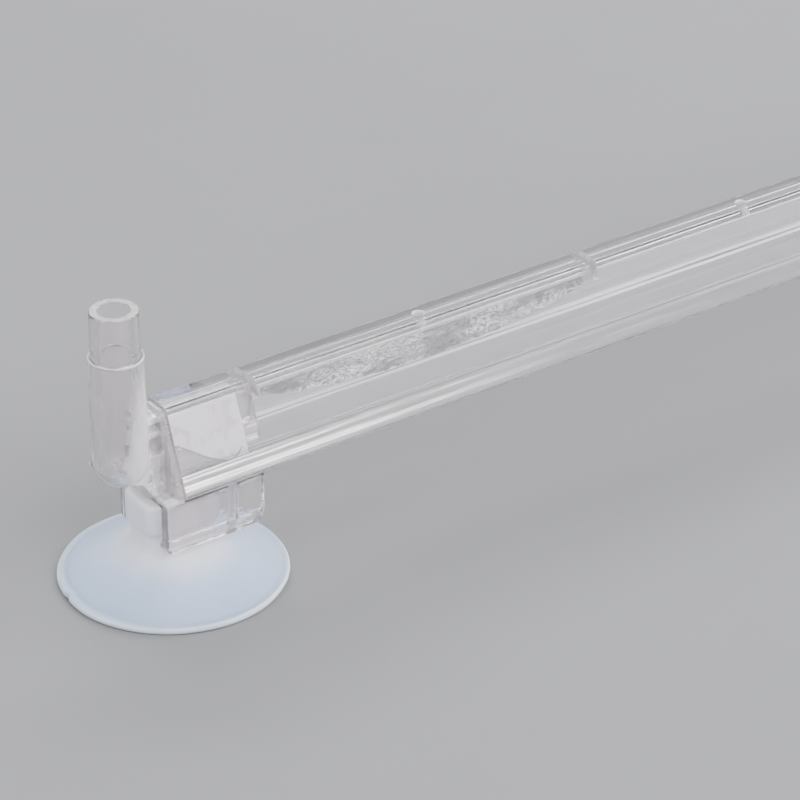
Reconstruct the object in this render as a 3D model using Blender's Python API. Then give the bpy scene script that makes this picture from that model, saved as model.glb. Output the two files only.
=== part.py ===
"""Clear aquarium air bar: a hollow tube with a hose spigot at one end, held down by two suction cups.

The bar lies along X with its inlet at -X. The suction cups' lips rest on Z = 0.
"""

import math

import bmesh
import bpy
from mathutils import Matrix, Vector

MM = 0.001

# Tube, measured over its cross-section and its length.
TUBE_LENGTH = 205.0 * MM
TUBE_HEIGHT = 9.4 * MM
TUBE_BASE = 10.8 * MM
TUBE_TOP = 3.4 * MM
TUBE_WALL = 1.4 * MM
TUBE_TOP_CORNER = 0.6 * MM
TUBE_BASE_CORNER = 0.35 * MM
TUBE_INNER_CORNER = 0.3 * MM
TUBE_FLOOR_Z = 11.9 * MM

# Air outlets along the top of the tube.
FIRST_SLIT = 10.5 * MM
SLIT_PITCH = 46.0 * MM
SLIT_COUNT = 5
SLIT_WIDTH = 0.8 * MM
SLIT_DEPTH = 1.9 * MM
HOLE_RADIUS = 0.6 * MM

# End fitting. X is measured from the tube's end face, positive into the tube.
FLANGE_THICK = 0.7 * MM
FLANGE_INSET = 0.25 * MM
PLUG_LENGTH = 9.0 * MM
PLUG_GAP = 0.12 * MM
NOSE_LENGTH = 11.2 * MM
NOSE_INSET = 0.7 * MM
PLATE_START = -2.3 * MM
PLATE_END = 10.0 * MM
PLATE_WIDTH = 9.7 * MM
PLATE_THICK = 0.9 * MM
PLATE_GAP = 0.05 * MM
RAIL_FOOT_Z = 5.4 * MM
RAIL_FOOT_WIDTH = 9.4 * MM
RAIL_THICK = 1.3 * MM
RAIL_CORNER = 1.3 * MM
LIP_DEPTH = 0.45 * MM
LIP_HEIGHT = 1.0 * MM
STOP_START = 6.1 * MM
STOP_LENGTH = 0.9 * MM
STOP_DEPTH = 0.9 * MM

# Hose spigot, upright beside the flange.
SPIGOT_X = -4.75 * MM
SPIGOT_TOP_Z = 33.8 * MM
SPIGOT_STEP_Z = 28.4 * MM
SPIGOT_TIP_RADIUS = 2.6 * MM
SPIGOT_NECK_RADIUS = 2.68 * MM
SPIGOT_BODY_RADIUS = 2.9 * MM
SPIGOT_BASE_RADIUS = 3.05 * MM
SPIGOT_BALL_Z = 16.15 * MM
SPIGOT_BORE = 1.68 * MM
SPIGOT_BORE_FLOOR_Z = 14.3 * MM
ARM_BORE = 1.25 * MM
ARM_BORE_Z = 14.8 * MM
ARM_WIDTH = 4.4 * MM
ARM_FLOOR_Z = 11.4 * MM
ARM_HEEL = -2.1 * MM
ARM_ROOT = (-3.4 * MM, 13.4 * MM)
ARM_TOP_Z = 16.5 * MM
RIB_WIDTH = 1.3 * MM
RIB_TOP_Z = 20.7 * MM
SHELF_WIDTH = 3.4 * MM
SHELVES_Z = (18.3 * MM, 20.0 * MM)
SHELF_THICK = 0.7 * MM

# Suction cup. X is measured from the tube's end face to the cup's axis.
CUP_X = 1.2 * MM
CUP_RADIUS = 12.5 * MM
CUP_LIP_THICK = 0.8 * MM
HEAD_LENGTH = 9.0 * MM
HEAD_WIDTH = 6.2 * MM
HEAD_TOP_Z = 10.65 * MM
HEAD_FLOOR_Z = 7.1 * MM
HEAD_CORNER = 1.6 * MM
NECK_LENGTH = 8.4 * MM
NECK_WIDTH = 5.1 * MM
NECK_FLOOR_Z = 3.2 * MM

# Crinkled strip inside the first bay.
STRIP_START = 12.0 * MM
STRIP_END = 55.4 * MM
STRIP_HEIGHT = 2.2 * MM
STRIP_THICK = 0.5 * MM
STRIP_GAP = 0.2 * MM

CLEAR = 0.5 * MM  # how far a cutter runs past the face it opens
ROUND = 48  # sides of a round body


def clear_scene():
    for obj in list(bpy.data.objects):
        bpy.data.objects.remove(obj)


def make_material(name, color, roughness, alpha):
    material = bpy.data.materials.new(name)
    material.use_nodes = True
    shader = material.node_tree.nodes["Principled BSDF"]
    shader.inputs["Base Color"].default_value = (*color, 1.0)
    shader.inputs["Roughness"].default_value = roughness
    shader.inputs["Metallic"].default_value = 0.0
    shader.inputs["IOR"].default_value = 1.49
    shader.inputs["Alpha"].default_value = alpha
    return material


def make_object(name, bm, material=None):
    bmesh.ops.recalc_face_normals(bm, faces=bm.faces)
    mesh = bpy.data.meshes.new(name)
    bm.to_mesh(mesh)
    bm.free()
    obj = bpy.data.objects.new(name, mesh)
    bpy.context.scene.collection.objects.link(obj)
    if material:
        mesh.materials.append(material)
    return obj


def combine(target, other, operation):
    """Boolean of target with a helper solid, which stays in the scene as a hidden wire."""
    other.hide_render = True
    other.display_type = "WIRE"
    modifier = target.modifiers.new(other.name, "BOOLEAN")
    modifier.operation = operation
    modifier.solver = "EXACT"
    modifier.object = other


def smooth_round_faces(obj, angle=35.0):
    """Shade curved faces smooth and leave an edge sharper than the angle as an edge."""
    for polygon in obj.data.polygons:
        polygon.use_smooth = True
    obj.data.set_sharp_from_angle(angle=math.radians(angle))


def rounded(corners, radii, steps=5):
    """The convex outline through these corners, each turned into an arc of its radius."""
    outline = []
    count = len(corners)
    for i, radius in enumerate(radii):
        corner = Vector(corners[i])
        back = (Vector(corners[i - 1]) - corner).normalized()
        on = (Vector(corners[(i + 1) % count]) - corner).normalized()
        half = math.acos(max(-1.0, min(1.0, back.dot(on)))) / 2
        if radius <= 0:
            outline.append(corner)
            continue
        centre = corner + (back + on).normalized() * (radius / math.sin(half))
        first = corner + back * (radius / math.tan(half)) - centre
        last = corner + on * (radius / math.tan(half)) - centre
        sweep = first.angle_signed(last)
        for k in range(steps + 1):
            outline.append(centre + Matrix.Rotation(-sweep * k / steps, 2) @ first)
    return outline


def inset(corners, distance):
    """A convex anticlockwise outline with every side moved inwards by the distance."""
    sides = []
    for i, corner in enumerate(corners):
        start = Vector(corner)
        along = (Vector(corners[(i + 1) % len(corners)]) - start).normalized()
        inward = Vector((-along.y, along.x))
        sides.append((start + inward * distance, along))
    moved = []
    for i, (start, along) in enumerate(sides):
        before, back = sides[i - 1]
        gap = start - before
        reach = (gap.x * along.y - gap.y * along.x) / (back.x * along.y - back.y * along.x)
        moved.append(before + back * reach)
    return moved


def tube_corners():
    """The tube's outer section as (y, z), anticlockwise from the near base corner."""
    top = TUBE_FLOOR_Z + TUBE_HEIGHT
    return [
        (-TUBE_BASE / 2, TUBE_FLOOR_Z),
        (TUBE_BASE / 2, TUBE_FLOOR_Z),
        (TUBE_TOP / 2, top),
        (-TUBE_TOP / 2, top),
    ]


def prism(name, outline, start, end, place, material=None):
    """A solid between two copies of an outline. place(a, b, t) gives a point at distance t."""
    bm = bmesh.new()
    low = [bm.verts.new(place(a, b, start)) for a, b in outline]
    high = [bm.verts.new(place(a, b, end)) for a, b in outline]
    bm.faces.new(low)
    bm.faces.new(high)
    bmesh.ops.bridge_loops(bm, edges=bm.edges[:])
    return make_object(name, bm, material)


def along_x(a, b, t):
    return (t, a, b)


def along_y(a, b, t):
    return (a, t, b)


def along_z(a, b, t):
    return (a, b, t)


def block(name, low, high):
    """A box between two corners."""
    outline = [(low[0], low[1]), (high[0], low[1]), (high[0], high[1]), (low[0], high[1])]
    return prism(name, outline, low[2], high[2], along_z)


def turned(name, profile, centre, material=None, segments=ROUND):
    """A solid of revolution about a vertical axis. The profile runs from the axis to the axis."""
    bm = bmesh.new()
    points = [bm.verts.new((radius, 0.0, z)) for radius, z in profile]
    for a, b in zip(points, points[1:]):
        bm.edges.new((a, b))
    bmesh.ops.spin(
        bm, geom=bm.verts[:] + bm.edges[:], cent=(0, 0, 0), axis=(0, 0, 1),
        angle=math.tau, steps=segments, use_merge=True,
    )
    bmesh.ops.remove_doubles(bm, verts=bm.verts, dist=1e-7)
    bmesh.ops.translate(bm, verts=bm.verts, vec=centre)
    return make_object(name, bm, material)


def arc(centre, radius, start, end, steps):
    """Points (r, z) on an arc, angles in degrees from the radial direction."""
    points = []
    for k in range(steps + 1):
        angle = math.radians(start + (end - start) * k / steps)
        points.append((centre[0] + radius * math.cos(angle), centre[1] + radius * math.sin(angle)))
    return points


def make_tube(material):
    corners = tube_corners()
    outer = rounded(
        corners, [TUBE_BASE_CORNER, TUBE_BASE_CORNER, TUBE_TOP_CORNER, TUBE_TOP_CORNER]
    )
    inner = rounded(inset(corners, TUBE_WALL), [TUBE_INNER_CORNER] * 4)
    half = TUBE_LENGTH / 2
    tube = prism("air_tube", outer, -half, half, along_x, material)
    combine(
        tube, prism("tube_chamber", inner, -half - CLEAR, half + CLEAR, along_x), "DIFFERENCE"
    )
    top = TUBE_FLOOR_Z + TUBE_HEIGHT
    for i in range(SLIT_COUNT):
        x = -half + FIRST_SLIT + i * SLIT_PITCH
        slit = block(
            f"slit_{i + 1}",
            (x - SLIT_WIDTH / 2, -TUBE_BASE / 2, top - SLIT_DEPTH),
            (x + SLIT_WIDTH / 2, TUBE_BASE / 2, top + CLEAR),
        )
        combine(tube, slit, "DIFFERENCE")
    for i in range(SLIT_COUNT - 1):
        x = -half + FIRST_SLIT + (i + 0.5) * SLIT_PITCH
        low = top - TUBE_WALL - CLEAR
        hole = turned(
            f"hole_{i + 1}",
            [(0, low), (HOLE_RADIUS, low), (HOLE_RADIUS, top + CLEAR), (0, top + CLEAR)],
            (x, 0, 0),
            segments=20,
        )
        combine(tube, hole, "DIFFERENCE")
    smooth_round_faces(tube)
    return tube


def rail_outline(side):
    """The section (y, z) of one rail, drawn in towards its foot, with a small lip inwards."""
    top = TUBE_FLOOR_Z - PLATE_GAP - PLATE_THICK / 2
    inner_foot = RAIL_FOOT_WIDTH / 2 - RAIL_THICK
    outline = [
        (PLATE_WIDTH / 2, top),
        (PLATE_WIDTH / 2 - RAIL_THICK, top),
        (inner_foot, RAIL_FOOT_Z + LIP_HEIGHT + LIP_DEPTH),
        (inner_foot - LIP_DEPTH, RAIL_FOOT_Z + LIP_HEIGHT),
        (inner_foot - LIP_DEPTH, RAIL_FOOT_Z + LIP_DEPTH / 2),
        (inner_foot - LIP_DEPTH / 2, RAIL_FOOT_Z),
        (RAIL_FOOT_WIDTH / 2 - LIP_DEPTH / 2, RAIL_FOOT_Z),
        (RAIL_FOOT_WIDTH / 2, RAIL_FOOT_Z + LIP_DEPTH / 2),
    ]
    return [(side * y, z) for y, z in outline]


def make_bracket(fitting, prefix):
    """Adds the flange, the plug, and the plate and rails that hold the cup's head."""
    corners = tube_corners()
    plug = rounded(inset(corners, TUBE_WALL + PLUG_GAP), [TUBE_INNER_CORNER] * 4)
    nose = rounded(
        inset(corners, TUBE_WALL + PLUG_GAP + NOSE_INSET), [TUBE_INNER_CORNER / 2] * 4
    )
    overlap = FLANGE_THICK / 2
    combine(fitting, prism(prefix + "_plug", plug, -overlap, PLUG_LENGTH, along_x), "UNION")
    combine(
        fitting,
        prism(prefix + "_nose", nose, PLUG_LENGTH - overlap, NOSE_LENGTH, along_x),
        "UNION",
    )
    plate_top = TUBE_FLOOR_Z - PLATE_GAP
    combine(
        fitting,
        block(
            prefix + "_plate",
            (PLATE_START, -PLATE_WIDTH / 2, plate_top - PLATE_THICK),
            (PLATE_END, PLATE_WIDTH / 2, plate_top),
        ),
        "UNION",
    )
    envelope = rounded(
        [
            (PLATE_START, RAIL_FOOT_Z),
            (PLATE_END, RAIL_FOOT_Z),
            (PLATE_END, plate_top),
            (PLATE_START, plate_top),
        ],
        [RAIL_CORNER, RAIL_CORNER, 0, 0],
    )
    for side, word in ((-1, "near"), (1, "far")):
        rail = prism(
            f"{prefix}_{word}_rail",
            rail_outline(side),
            PLATE_START - CLEAR,
            PLATE_END + CLEAR,
            along_x,
        )
        trim = prism(f"{prefix}_{word}_trim", envelope, -PLATE_WIDTH, PLATE_WIDTH, along_y)
        combine(rail, trim, "INTERSECT")
        combine(fitting, rail, "UNION")
        inner = side * (RAIL_FOOT_WIDTH / 2 - RAIL_THICK - STOP_DEPTH)
        outer = side * (RAIL_FOOT_WIDTH / 2 - RAIL_THICK / 2)
        stop = block(
            f"{prefix}_{word}_stop",
            (STOP_START, min(inner, outer), RAIL_FOOT_Z + LIP_HEIGHT / 2),
            (STOP_START + STOP_LENGTH, max(inner, outer), plate_top - PLATE_THICK / 2),
        )
        combine(fitting, stop, "UNION")


def flange(name, material):
    """The end flange, which the rest of a fitting is joined to."""
    outline = rounded(
        inset(tube_corners(), FLANGE_INSET),
        [TUBE_BASE_CORNER, TUBE_BASE_CORNER, TUBE_TOP_CORNER, TUBE_TOP_CORNER],
    )
    lowered = [(y, z - FLANGE_INSET - PLATE_GAP if z < TUBE_FLOOR_Z + MM else z) for y, z in outline]
    return prism(name, lowered, -FLANGE_THICK, 0.0, along_x, material)


def make_inlet_fitting(material):
    fitting = flange("inlet_end_fitting", material)
    make_bracket(fitting, "inlet")
    body = turned(
        "spigot_body",
        arc((0, SPIGOT_BALL_Z), SPIGOT_BASE_RADIUS, -90, 0, 10)
        + [
            (SPIGOT_BODY_RADIUS, SPIGOT_STEP_Z),
            (SPIGOT_NECK_RADIUS, SPIGOT_STEP_Z),
            (SPIGOT_TIP_RADIUS, SPIGOT_TOP_Z),
            (0, SPIGOT_TOP_Z),
        ],
        (SPIGOT_X, 0, 0),
    )
    inside = -FLANGE_THICK / 2
    arm = [
        (SPIGOT_X, ARM_ROOT[1] + CLEAR),
        ARM_ROOT,
        (ARM_HEEL, ARM_FLOOR_Z),
        (inside, ARM_FLOOR_Z),
        (inside, ARM_TOP_Z),
        (SPIGOT_X, ARM_TOP_Z),
    ]
    combine(fitting, body, "UNION")
    combine(
        fitting, prism("spigot_arm", arm, -ARM_WIDTH / 2, ARM_WIDTH / 2, along_y), "UNION"
    )
    rib = block(
        "spigot_rib",
        (SPIGOT_X, -RIB_WIDTH / 2, ARM_TOP_Z - CLEAR),
        (inside, RIB_WIDTH / 2, RIB_TOP_Z),
    )
    combine(fitting, rib, "UNION")
    for i, z in enumerate(SHELVES_Z):
        shelf = block(
            f"spigot_shelf_{i + 1}",
            (SPIGOT_X, -SHELF_WIDTH / 2, z),
            (inside, SHELF_WIDTH / 2, z + SHELF_THICK),
        )
        combine(fitting, shelf, "UNION")
    bore = turned(
        "spigot_bore",
        [
            (0, SPIGOT_BORE_FLOOR_Z),
            (SPIGOT_BORE, SPIGOT_BORE_FLOOR_Z + 0.6 * SPIGOT_BORE),
            (SPIGOT_BORE, SPIGOT_TOP_Z + CLEAR),
            (0, SPIGOT_TOP_Z + CLEAR),
        ],
        (SPIGOT_X, 0, 0),
        segments=32,
    )
    passage = turned(
        "arm_bore",
        [(0, 0), (ARM_BORE, 0), (ARM_BORE, NOSE_LENGTH - SPIGOT_X + CLEAR)]
        + [(0, NOSE_LENGTH - SPIGOT_X + CLEAR)],
        (0, 0, 0),
        segments=24,
    )
    passage.data.transform(
        Matrix.Translation((SPIGOT_X, 0, ARM_BORE_Z)) @ Matrix.Rotation(math.pi / 2, 4, "Y")
    )
    combine(fitting, bore, "DIFFERENCE")
    combine(fitting, passage, "DIFFERENCE")
    return fitting


def make_blank_fitting(material):
    fitting = flange("blank_end_fitting", material)
    make_bracket(fitting, "blank")
    depth = NOSE_LENGTH - 2 * FLANGE_THICK
    recess = turned(
        "blank_recess", [(0, 0), (ARM_BORE, 0), (ARM_BORE, depth), (0, depth)], (0, 0, 0),
        segments=24,
    )
    recess.data.transform(
        Matrix.Translation((NOSE_LENGTH + CLEAR - depth, 0, ARM_BORE_Z))
        @ Matrix.Rotation(math.pi / 2, 4, "Y")
    )
    combine(fitting, recess, "DIFFERENCE")
    return fitting


def oblong(length, width, corner):
    return rounded(
        [
            (-length / 2, -width / 2),
            (length / 2, -width / 2),
            (length / 2, width / 2),
            (-length / 2, width / 2),
        ],
        [corner] * 4,
        steps=6,
    )


def make_cup(name, prefix, material):
    """A suction cup about its own axis: a thin dome with a flat lip, and a block head above."""
    lip_outer = CUP_RADIUS - 0.25 * MM
    lip_inner = CUP_RADIUS - 1.5 * MM
    profile = [
        (0, 2.3 * MM),
        (2.6 * MM, 2.25 * MM),
        (5.2 * MM, 1.95 * MM),
        (7.6 * MM, 1.35 * MM),
        (9.6 * MM, 0.6 * MM),
        (lip_inner, 0),
        (lip_outer, 0),
        (CUP_RADIUS, 0.2 * MM),
        (CUP_RADIUS, CUP_LIP_THICK - 0.15 * MM),
        (CUP_RADIUS - 0.2 * MM, CUP_LIP_THICK),
        (CUP_RADIUS - 0.9 * MM, CUP_LIP_THICK + 0.1 * MM),
        (10.2 * MM, 1.45 * MM),
        (8.6 * MM, 2.2 * MM),
        (7.0 * MM, 2.95 * MM),
        (5.6 * MM, 3.6 * MM),
        (4.7 * MM, 4.15 * MM),
        (4.2 * MM, 4.6 * MM),
        (0, 4.6 * MM),
    ]
    cup = turned(name, profile, (0, 0, 0), material, segments=64)
    neck = prism(
        prefix + "_neck",
        oblong(NECK_LENGTH, NECK_WIDTH, HEAD_CORNER),
        NECK_FLOOR_Z,
        HEAD_FLOOR_Z + HEAD_CORNER / 2,
        along_z,
    )
    head = prism(
        prefix + "_head",
        oblong(HEAD_LENGTH, HEAD_WIDTH, HEAD_CORNER),
        HEAD_FLOOR_Z,
        HEAD_TOP_Z,
        along_z,
    )
    combine(cup, neck, "UNION")
    combine(cup, head, "UNION")
    smooth_round_faces(cup)
    return cup


def make_strip(material):
    """A thin strip against the inside of the near wall, just under the chamber's ceiling."""
    chamber = inset(tube_corners(), TUBE_WALL + STRIP_GAP)
    top = chamber[3]
    down = (chamber[0] - top).normalized()
    inward = Vector((-down.y, down.x))
    start = top + down * STRIP_GAP
    outline = [
        start,
        start + down * STRIP_HEIGHT,
        start + down * STRIP_HEIGHT + inward * STRIP_THICK,
        start + inward * STRIP_THICK,
    ]
    end = -TUBE_LENGTH / 2
    return prism("inner_strip", outline, end + STRIP_START, end + STRIP_END, along_x, material)


def main():
    clear_scene()
    clear_plastic = make_material("clear_plastic", (0.93, 0.92, 0.94), 0.08, 0.35)
    silicone = make_material("milky_silicone", (0.80, 0.85, 0.92), 0.45, 1.0)
    frosted = make_material("frosted_plastic", (0.88, 0.88, 0.92), 0.4, 0.6)

    make_tube(clear_plastic)
    make_strip(frosted)

    half = TUBE_LENGTH / 2
    inlet = bpy.data.objects.new("inlet_end", None)
    blank = bpy.data.objects.new("blank_end", None)
    for empty, x, turn in ((inlet, -half, 0.0), (blank, half, math.pi)):
        bpy.context.scene.collection.objects.link(empty)
        empty.location.x = x
        empty.rotation_euler.z = turn

    for end, make_fitting, prefix in (
        (inlet, make_inlet_fitting, "inlet"),
        (blank, make_blank_fitting, "blank"),
    ):
        before = set(bpy.data.objects)
        fitting = make_fitting(clear_plastic)
        smooth_round_faces(fitting)
        for obj in set(bpy.data.objects) - before:
            obj.parent = end
        before = set(bpy.data.objects)
        make_cup(prefix + "_suction_cup", prefix + "_cup", silicone)
        for obj in set(bpy.data.objects) - before:
            obj.parent = end
            obj.location.x = CUP_X


main()
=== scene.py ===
"""Looks of the clear aquarium air bar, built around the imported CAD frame.

Lengths are in metres. The bar lies along X with its inlet at -X, and the cups stand on Z = 0.
"""

import math

import bmesh
import bpy
from mathutils import Matrix, Vector, noise


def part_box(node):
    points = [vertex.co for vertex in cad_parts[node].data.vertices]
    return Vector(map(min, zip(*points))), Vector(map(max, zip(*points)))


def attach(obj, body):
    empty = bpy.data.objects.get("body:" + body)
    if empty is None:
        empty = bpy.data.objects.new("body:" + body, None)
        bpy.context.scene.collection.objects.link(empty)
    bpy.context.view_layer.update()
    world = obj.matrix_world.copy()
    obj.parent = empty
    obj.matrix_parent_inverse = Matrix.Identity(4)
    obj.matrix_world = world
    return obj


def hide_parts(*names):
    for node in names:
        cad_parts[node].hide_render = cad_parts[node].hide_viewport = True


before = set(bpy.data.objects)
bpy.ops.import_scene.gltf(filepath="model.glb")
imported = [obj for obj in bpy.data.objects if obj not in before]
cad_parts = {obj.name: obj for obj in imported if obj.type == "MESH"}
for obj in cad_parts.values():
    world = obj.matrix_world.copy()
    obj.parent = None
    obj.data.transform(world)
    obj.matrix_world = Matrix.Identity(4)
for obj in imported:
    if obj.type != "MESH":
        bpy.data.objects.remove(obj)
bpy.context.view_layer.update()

MM = 0.001

TUBE_LOW, TUBE_HIGH = (Vector(corner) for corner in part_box("air_tube"))
TUBE_START, TUBE_END = TUBE_LOW.x, TUBE_HIGH.x
TUBE_FLOOR, TUBE_ROOF = TUBE_LOW.z, TUBE_HIGH.z

# The tube's section: the width of its base and roof before their corners are rounded, and the
# radii of its corners: near base, far base, far roof and near roof.
BASE = 10.8 * MM
ROOF = 3.4 * MM
WALL = 1.4 * MM
OUTER_RADII = (0.35 * MM, 0.35 * MM, 0.6 * MM, 0.6 * MM)
CHAMBER_RADII = (0.8 * MM, 0.6 * MM, 0.45 * MM, 0.45 * MM)

# Air outlets, from the tube's inlet end.
FIRST_SLIT = 10.5 * MM
SLIT_PITCH = 46.0 * MM
SLIT_WIDTH = 0.8 * MM
SLIT_DEPTH = 1.9 * MM
SLIT_SKEWS = (3.5, -4.0, 2.5, -2.0, 3.0)  # degrees, as sawn by hand
HOLE_COUNT = len(SLIT_SKEWS) - 1  # one midway between each two slits
HOLE_RADIUS = 0.6 * MM
HOLE_CHAMFER = 0.12 * MM

# End fittings, X measured from the tube's end face into the tube.
FLANGE = 0.7 * MM
FLANGE_INSET = 0.25 * MM
FLANGE_DROP = 0.3 * MM  # how far the flange reaches down past its inset base
PLUG = 9.0 * MM
PLUG_GAP = 0.14 * MM
PLUG_CORNER = 0.3 * MM
NOSE = 11.2 * MM
NOSE_INSET = 0.7 * MM
NOSE_CORNER = 0.2 * MM
PLATE_START = -2.3 * MM
PLATE_END = 10.0 * MM
PLATE_WIDTH = 9.7 * MM
PLATE_THICK = 0.9 * MM
PLATE_GAP = 0.05 * MM  # between the plate and the underside of the tube
FOOT_Z = 5.4 * MM
FOOT_WIDTH = 9.4 * MM
RAIL = 1.3 * MM
LIP = 0.45 * MM
OUTER_FOOT_RADIUS = 1.0 * MM  # of the rails' lower corners, seen from the side
INNER_FOOT_RADIUS = 1.7 * MM
STOP_START = 6.1 * MM
STOP_LENGTH = 0.9 * MM
STOP_REACH = 0.9 * MM  # how far a stop stands in from its rail
POST_START = 0.25 * MM  # the thickening at a rail's outer end, from the end of the plate
POST_LENGTH = 1.25 * MM
POST_PROUD = 0.22 * MM

# Hose spigot.
SPIGOT_X = -4.75 * MM
SPIGOT_TOP = 33.79 * MM
SPIGOT_STEP = 28.4 * MM
TIP_RADIUS = 2.6 * MM
NECK_RADIUS = 2.68 * MM
BODY_RADIUS = 2.9 * MM
BALL_RADIUS = 3.05 * MM
BALL_Z = 16.15 * MM
BORE_RADIUS = 1.68 * MM
BORE_FLOOR = 14.3 * MM
BORE_DISH = 0.12 * MM  # depth of the bore floor's hollow
PASSAGE_RADIUS = 1.25 * MM
PASSAGE_Z = 14.8 * MM

# The arm between spigot and flange, with the rib and the two shelves above it.
ARM_TOP = 16.5 * MM
ARM_HALF_WIDTH = 2.2 * MM
ARM_UNDERSIDE = ((SPIGOT_X, 13.9 * MM), (-3.4 * MM, 13.4 * MM), (-2.1 * MM, 11.4 * MM))
RIB_FOOT = 16.0 * MM
RIB_TOP = 20.7 * MM
RIB_HALF_WIDTH = 0.65 * MM
SHELF_LEVELS = (18.3 * MM, 20.0 * MM)
SHELF_THICK = 0.7 * MM
SHELF_HALF_WIDTH = 1.7 * MM

# The gate mark on the spigot's ball: its place from the spigot's axis, then its outline.
GATE_PLACE = (-2.5 * MM, 1.75 * MM)
GATE_OUTLINE = ((0, 15.3 * MM), (0.3 * MM, 15.45 * MM), (0.3 * MM, 15.75 * MM), (0, 15.9 * MM))

# The edge of the cement on the plug's side, X measured from the tube's end face.
CEMENT_TOP = 16.9 * MM
CEMENT_DROP = 3.3 * MM
CEMENT_RUN = 7.2 * MM  # from the end face to where the edge is lowest
CEMENT_START = 0.3 * MM
CEMENT_LENGTH = 7.9 * MM
CEMENT_TURN_UP = 6.6 * MM  # where the bead starts to rise again
CEMENT_CLEARANCE = 0.35 * MM  # of the bead from the chamber's floor
CEMENT_RISE = 0.35 * MM  # of the bead, a millimetre beyond where it turns up
CEMENT_RADIUS = 0.055 * MM

# Where the cups stand, X measured from the tube's end face.
CUP_X = 1.2 * MM
CUP_RADIUS = 12.5 * MM

# The crinkled strip, X measured from the tube's inlet end.
STRIP_START = 12.1 * MM
STRIP_END = 55.3 * MM
STRIP_GAP = 0.25 * MM  # between the strip and the tube's wall
STRIP_COLUMNS, STRIP_ROWS = 900, 24

# Cloudiness of the mouldings, and painted light on the spigot: a whitish patch in place of the
# light that its arm and plug send through it.
MILKINESS_AND_PAINTED_LIGHT = 0.4  # how much of the clear look the moulding loses where it is cloudiest, or where the painted light is strongest
RAIL_MILK = 0.08
PAINTED_LIGHT_SIDE = (0.75, -0.66)  # the side of the spigot that carries the painted light, as x and y
PAINTED_LIGHT_FOOT = 15.0 * MM
PAINTED_LIGHT_LEAN = 0.7  # how far the painted light has drawn back to its side at the spigot's step
PAINTED_LIGHT_SOFTNESS = 0.7

ROUND = 192  # points in a ring of a cup or of the flash

# Mesh work on the mouldings.
VOXEL = 0.11 * MM
SOFTEN = 5  # smoothing passes, which give moulded edges their radius
WRINKLE = 0.07 * MM  # height of the waves in the rails
LIGHTEN = 0.45  # share of the triangles kept

# Allowances when a face is told by where it lies, on a cut mesh and on a remeshed one.
TINY = 0.01 * MM
NEAR = 0.1 * MM

# Ranges of a normal's Z on the tube's far lower corner, painted as a milky highlight, and on the
# painted shade line along it.
CORNER_TILT = (-0.3, 0.995)
SHADE_LINE_TILT = (0.55, 0.8)


# ---------------------------------------------------------------- mesh helpers


def link(obj):
    bpy.context.scene.collection.objects.link(obj)
    return obj


def mesh_object(name, bm):
    bmesh.ops.recalc_face_normals(bm, faces=bm.faces)
    mesh = bpy.data.meshes.new(name)
    bm.to_mesh(mesh)
    bm.free()
    return link(bpy.data.objects.new(name, mesh))


def shade_smooth(obj, angle=None):
    """Smooth shading, with edges sharper than the angle in degrees left sharp."""
    obj.data.polygons.foreach_set("use_smooth", [True] * len(obj.data.polygons))
    if angle:
        obj.data.set_sharp_from_angle(angle=math.radians(angle))


def rounded(corners, radii, steps=8):
    """The convex outline through these corners, each turned into an arc of its radius."""
    outline = []
    count = len(corners)
    for i, radius in enumerate(radii):
        corner = Vector(corners[i])
        back = (Vector(corners[i - 1]) - corner).normalized()
        on = (Vector(corners[(i + 1) % count]) - corner).normalized()
        half = math.acos(max(-1.0, min(1.0, back.dot(on)))) / 2
        if radius <= 0:
            outline.append(corner)
            continue
        centre = corner + (back + on).normalized() * (radius / math.sin(half))
        first = corner + back * (radius / math.tan(half)) - centre
        last = corner + on * (radius / math.tan(half)) - centre
        sweep = first.angle_signed(last)
        for k in range(steps + 1):
            outline.append(centre + Matrix.Rotation(-sweep * k / steps, 2) @ first)
    return outline


def inset(corners, distance):
    """A convex anticlockwise outline with every side moved inwards by the distance."""
    sides = []
    for i, corner in enumerate(corners):
        start = Vector(corner)
        along = (Vector(corners[(i + 1) % len(corners)]) - start).normalized()
        sides.append((start + Vector((-along.y, along.x)) * distance, along))
    moved = []
    for i, (start, along) in enumerate(sides):
        before, back = sides[i - 1]
        gap = start - before
        reach = (gap.x * along.y - gap.y * along.x) / (back.x * along.y - back.y * along.x)
        moved.append(before + back * reach)
    return moved


def section():
    """The tube's outer section as (y, z), anticlockwise from the near base corner."""
    return [
        (-BASE / 2, TUBE_FLOOR),
        (BASE / 2, TUBE_FLOOR),
        (ROOF / 2, TUBE_ROOF),
        (-ROOF / 2, TUBE_ROOF),
    ]


def prism(name, outline, start, end, place):
    """A solid between two copies of an outline. place(a, b, t) gives a point at distance t."""
    bm = bmesh.new()
    low = [bm.verts.new(place(a, b, start)) for a, b in outline]
    high = [bm.verts.new(place(a, b, end)) for a, b in outline]
    bm.faces.new(low)
    bm.faces.new(high)
    bmesh.ops.bridge_loops(bm, edges=bm.edges[:])
    return mesh_object(name, bm)


def along_x(a, b, t):
    return (t, a, b)


def along_y(a, b, t):
    return (a, t, b)


def along_z(a, b, t):
    return (a, b, t)


def block(name, low, high):
    outline = [(low[0], low[1]), (high[0], low[1]), (high[0], high[1]), (low[0], high[1])]
    return prism(name, outline, low[2], high[2], along_z)


def turned(name, profile, x=0.0, segments=96):
    """A solid of revolution about a vertical axis at x. The profile runs axis to axis."""
    bm = bmesh.new()
    points = [bm.verts.new((radius, 0.0, z)) for radius, z in profile]
    for a, b in zip(points, points[1:]):
        bm.edges.new((a, b))
    bmesh.ops.spin(
        bm, geom=bm.verts[:] + bm.edges[:], cent=(0, 0, 0), axis=(0, 0, 1),
        angle=math.tau, steps=segments, use_merge=True,
    )
    bmesh.ops.remove_doubles(bm, verts=bm.verts, dist=1e-7)
    bmesh.ops.translate(bm, verts=bm.verts, vec=(x, 0, 0))
    return mesh_object(name, bm)


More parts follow.
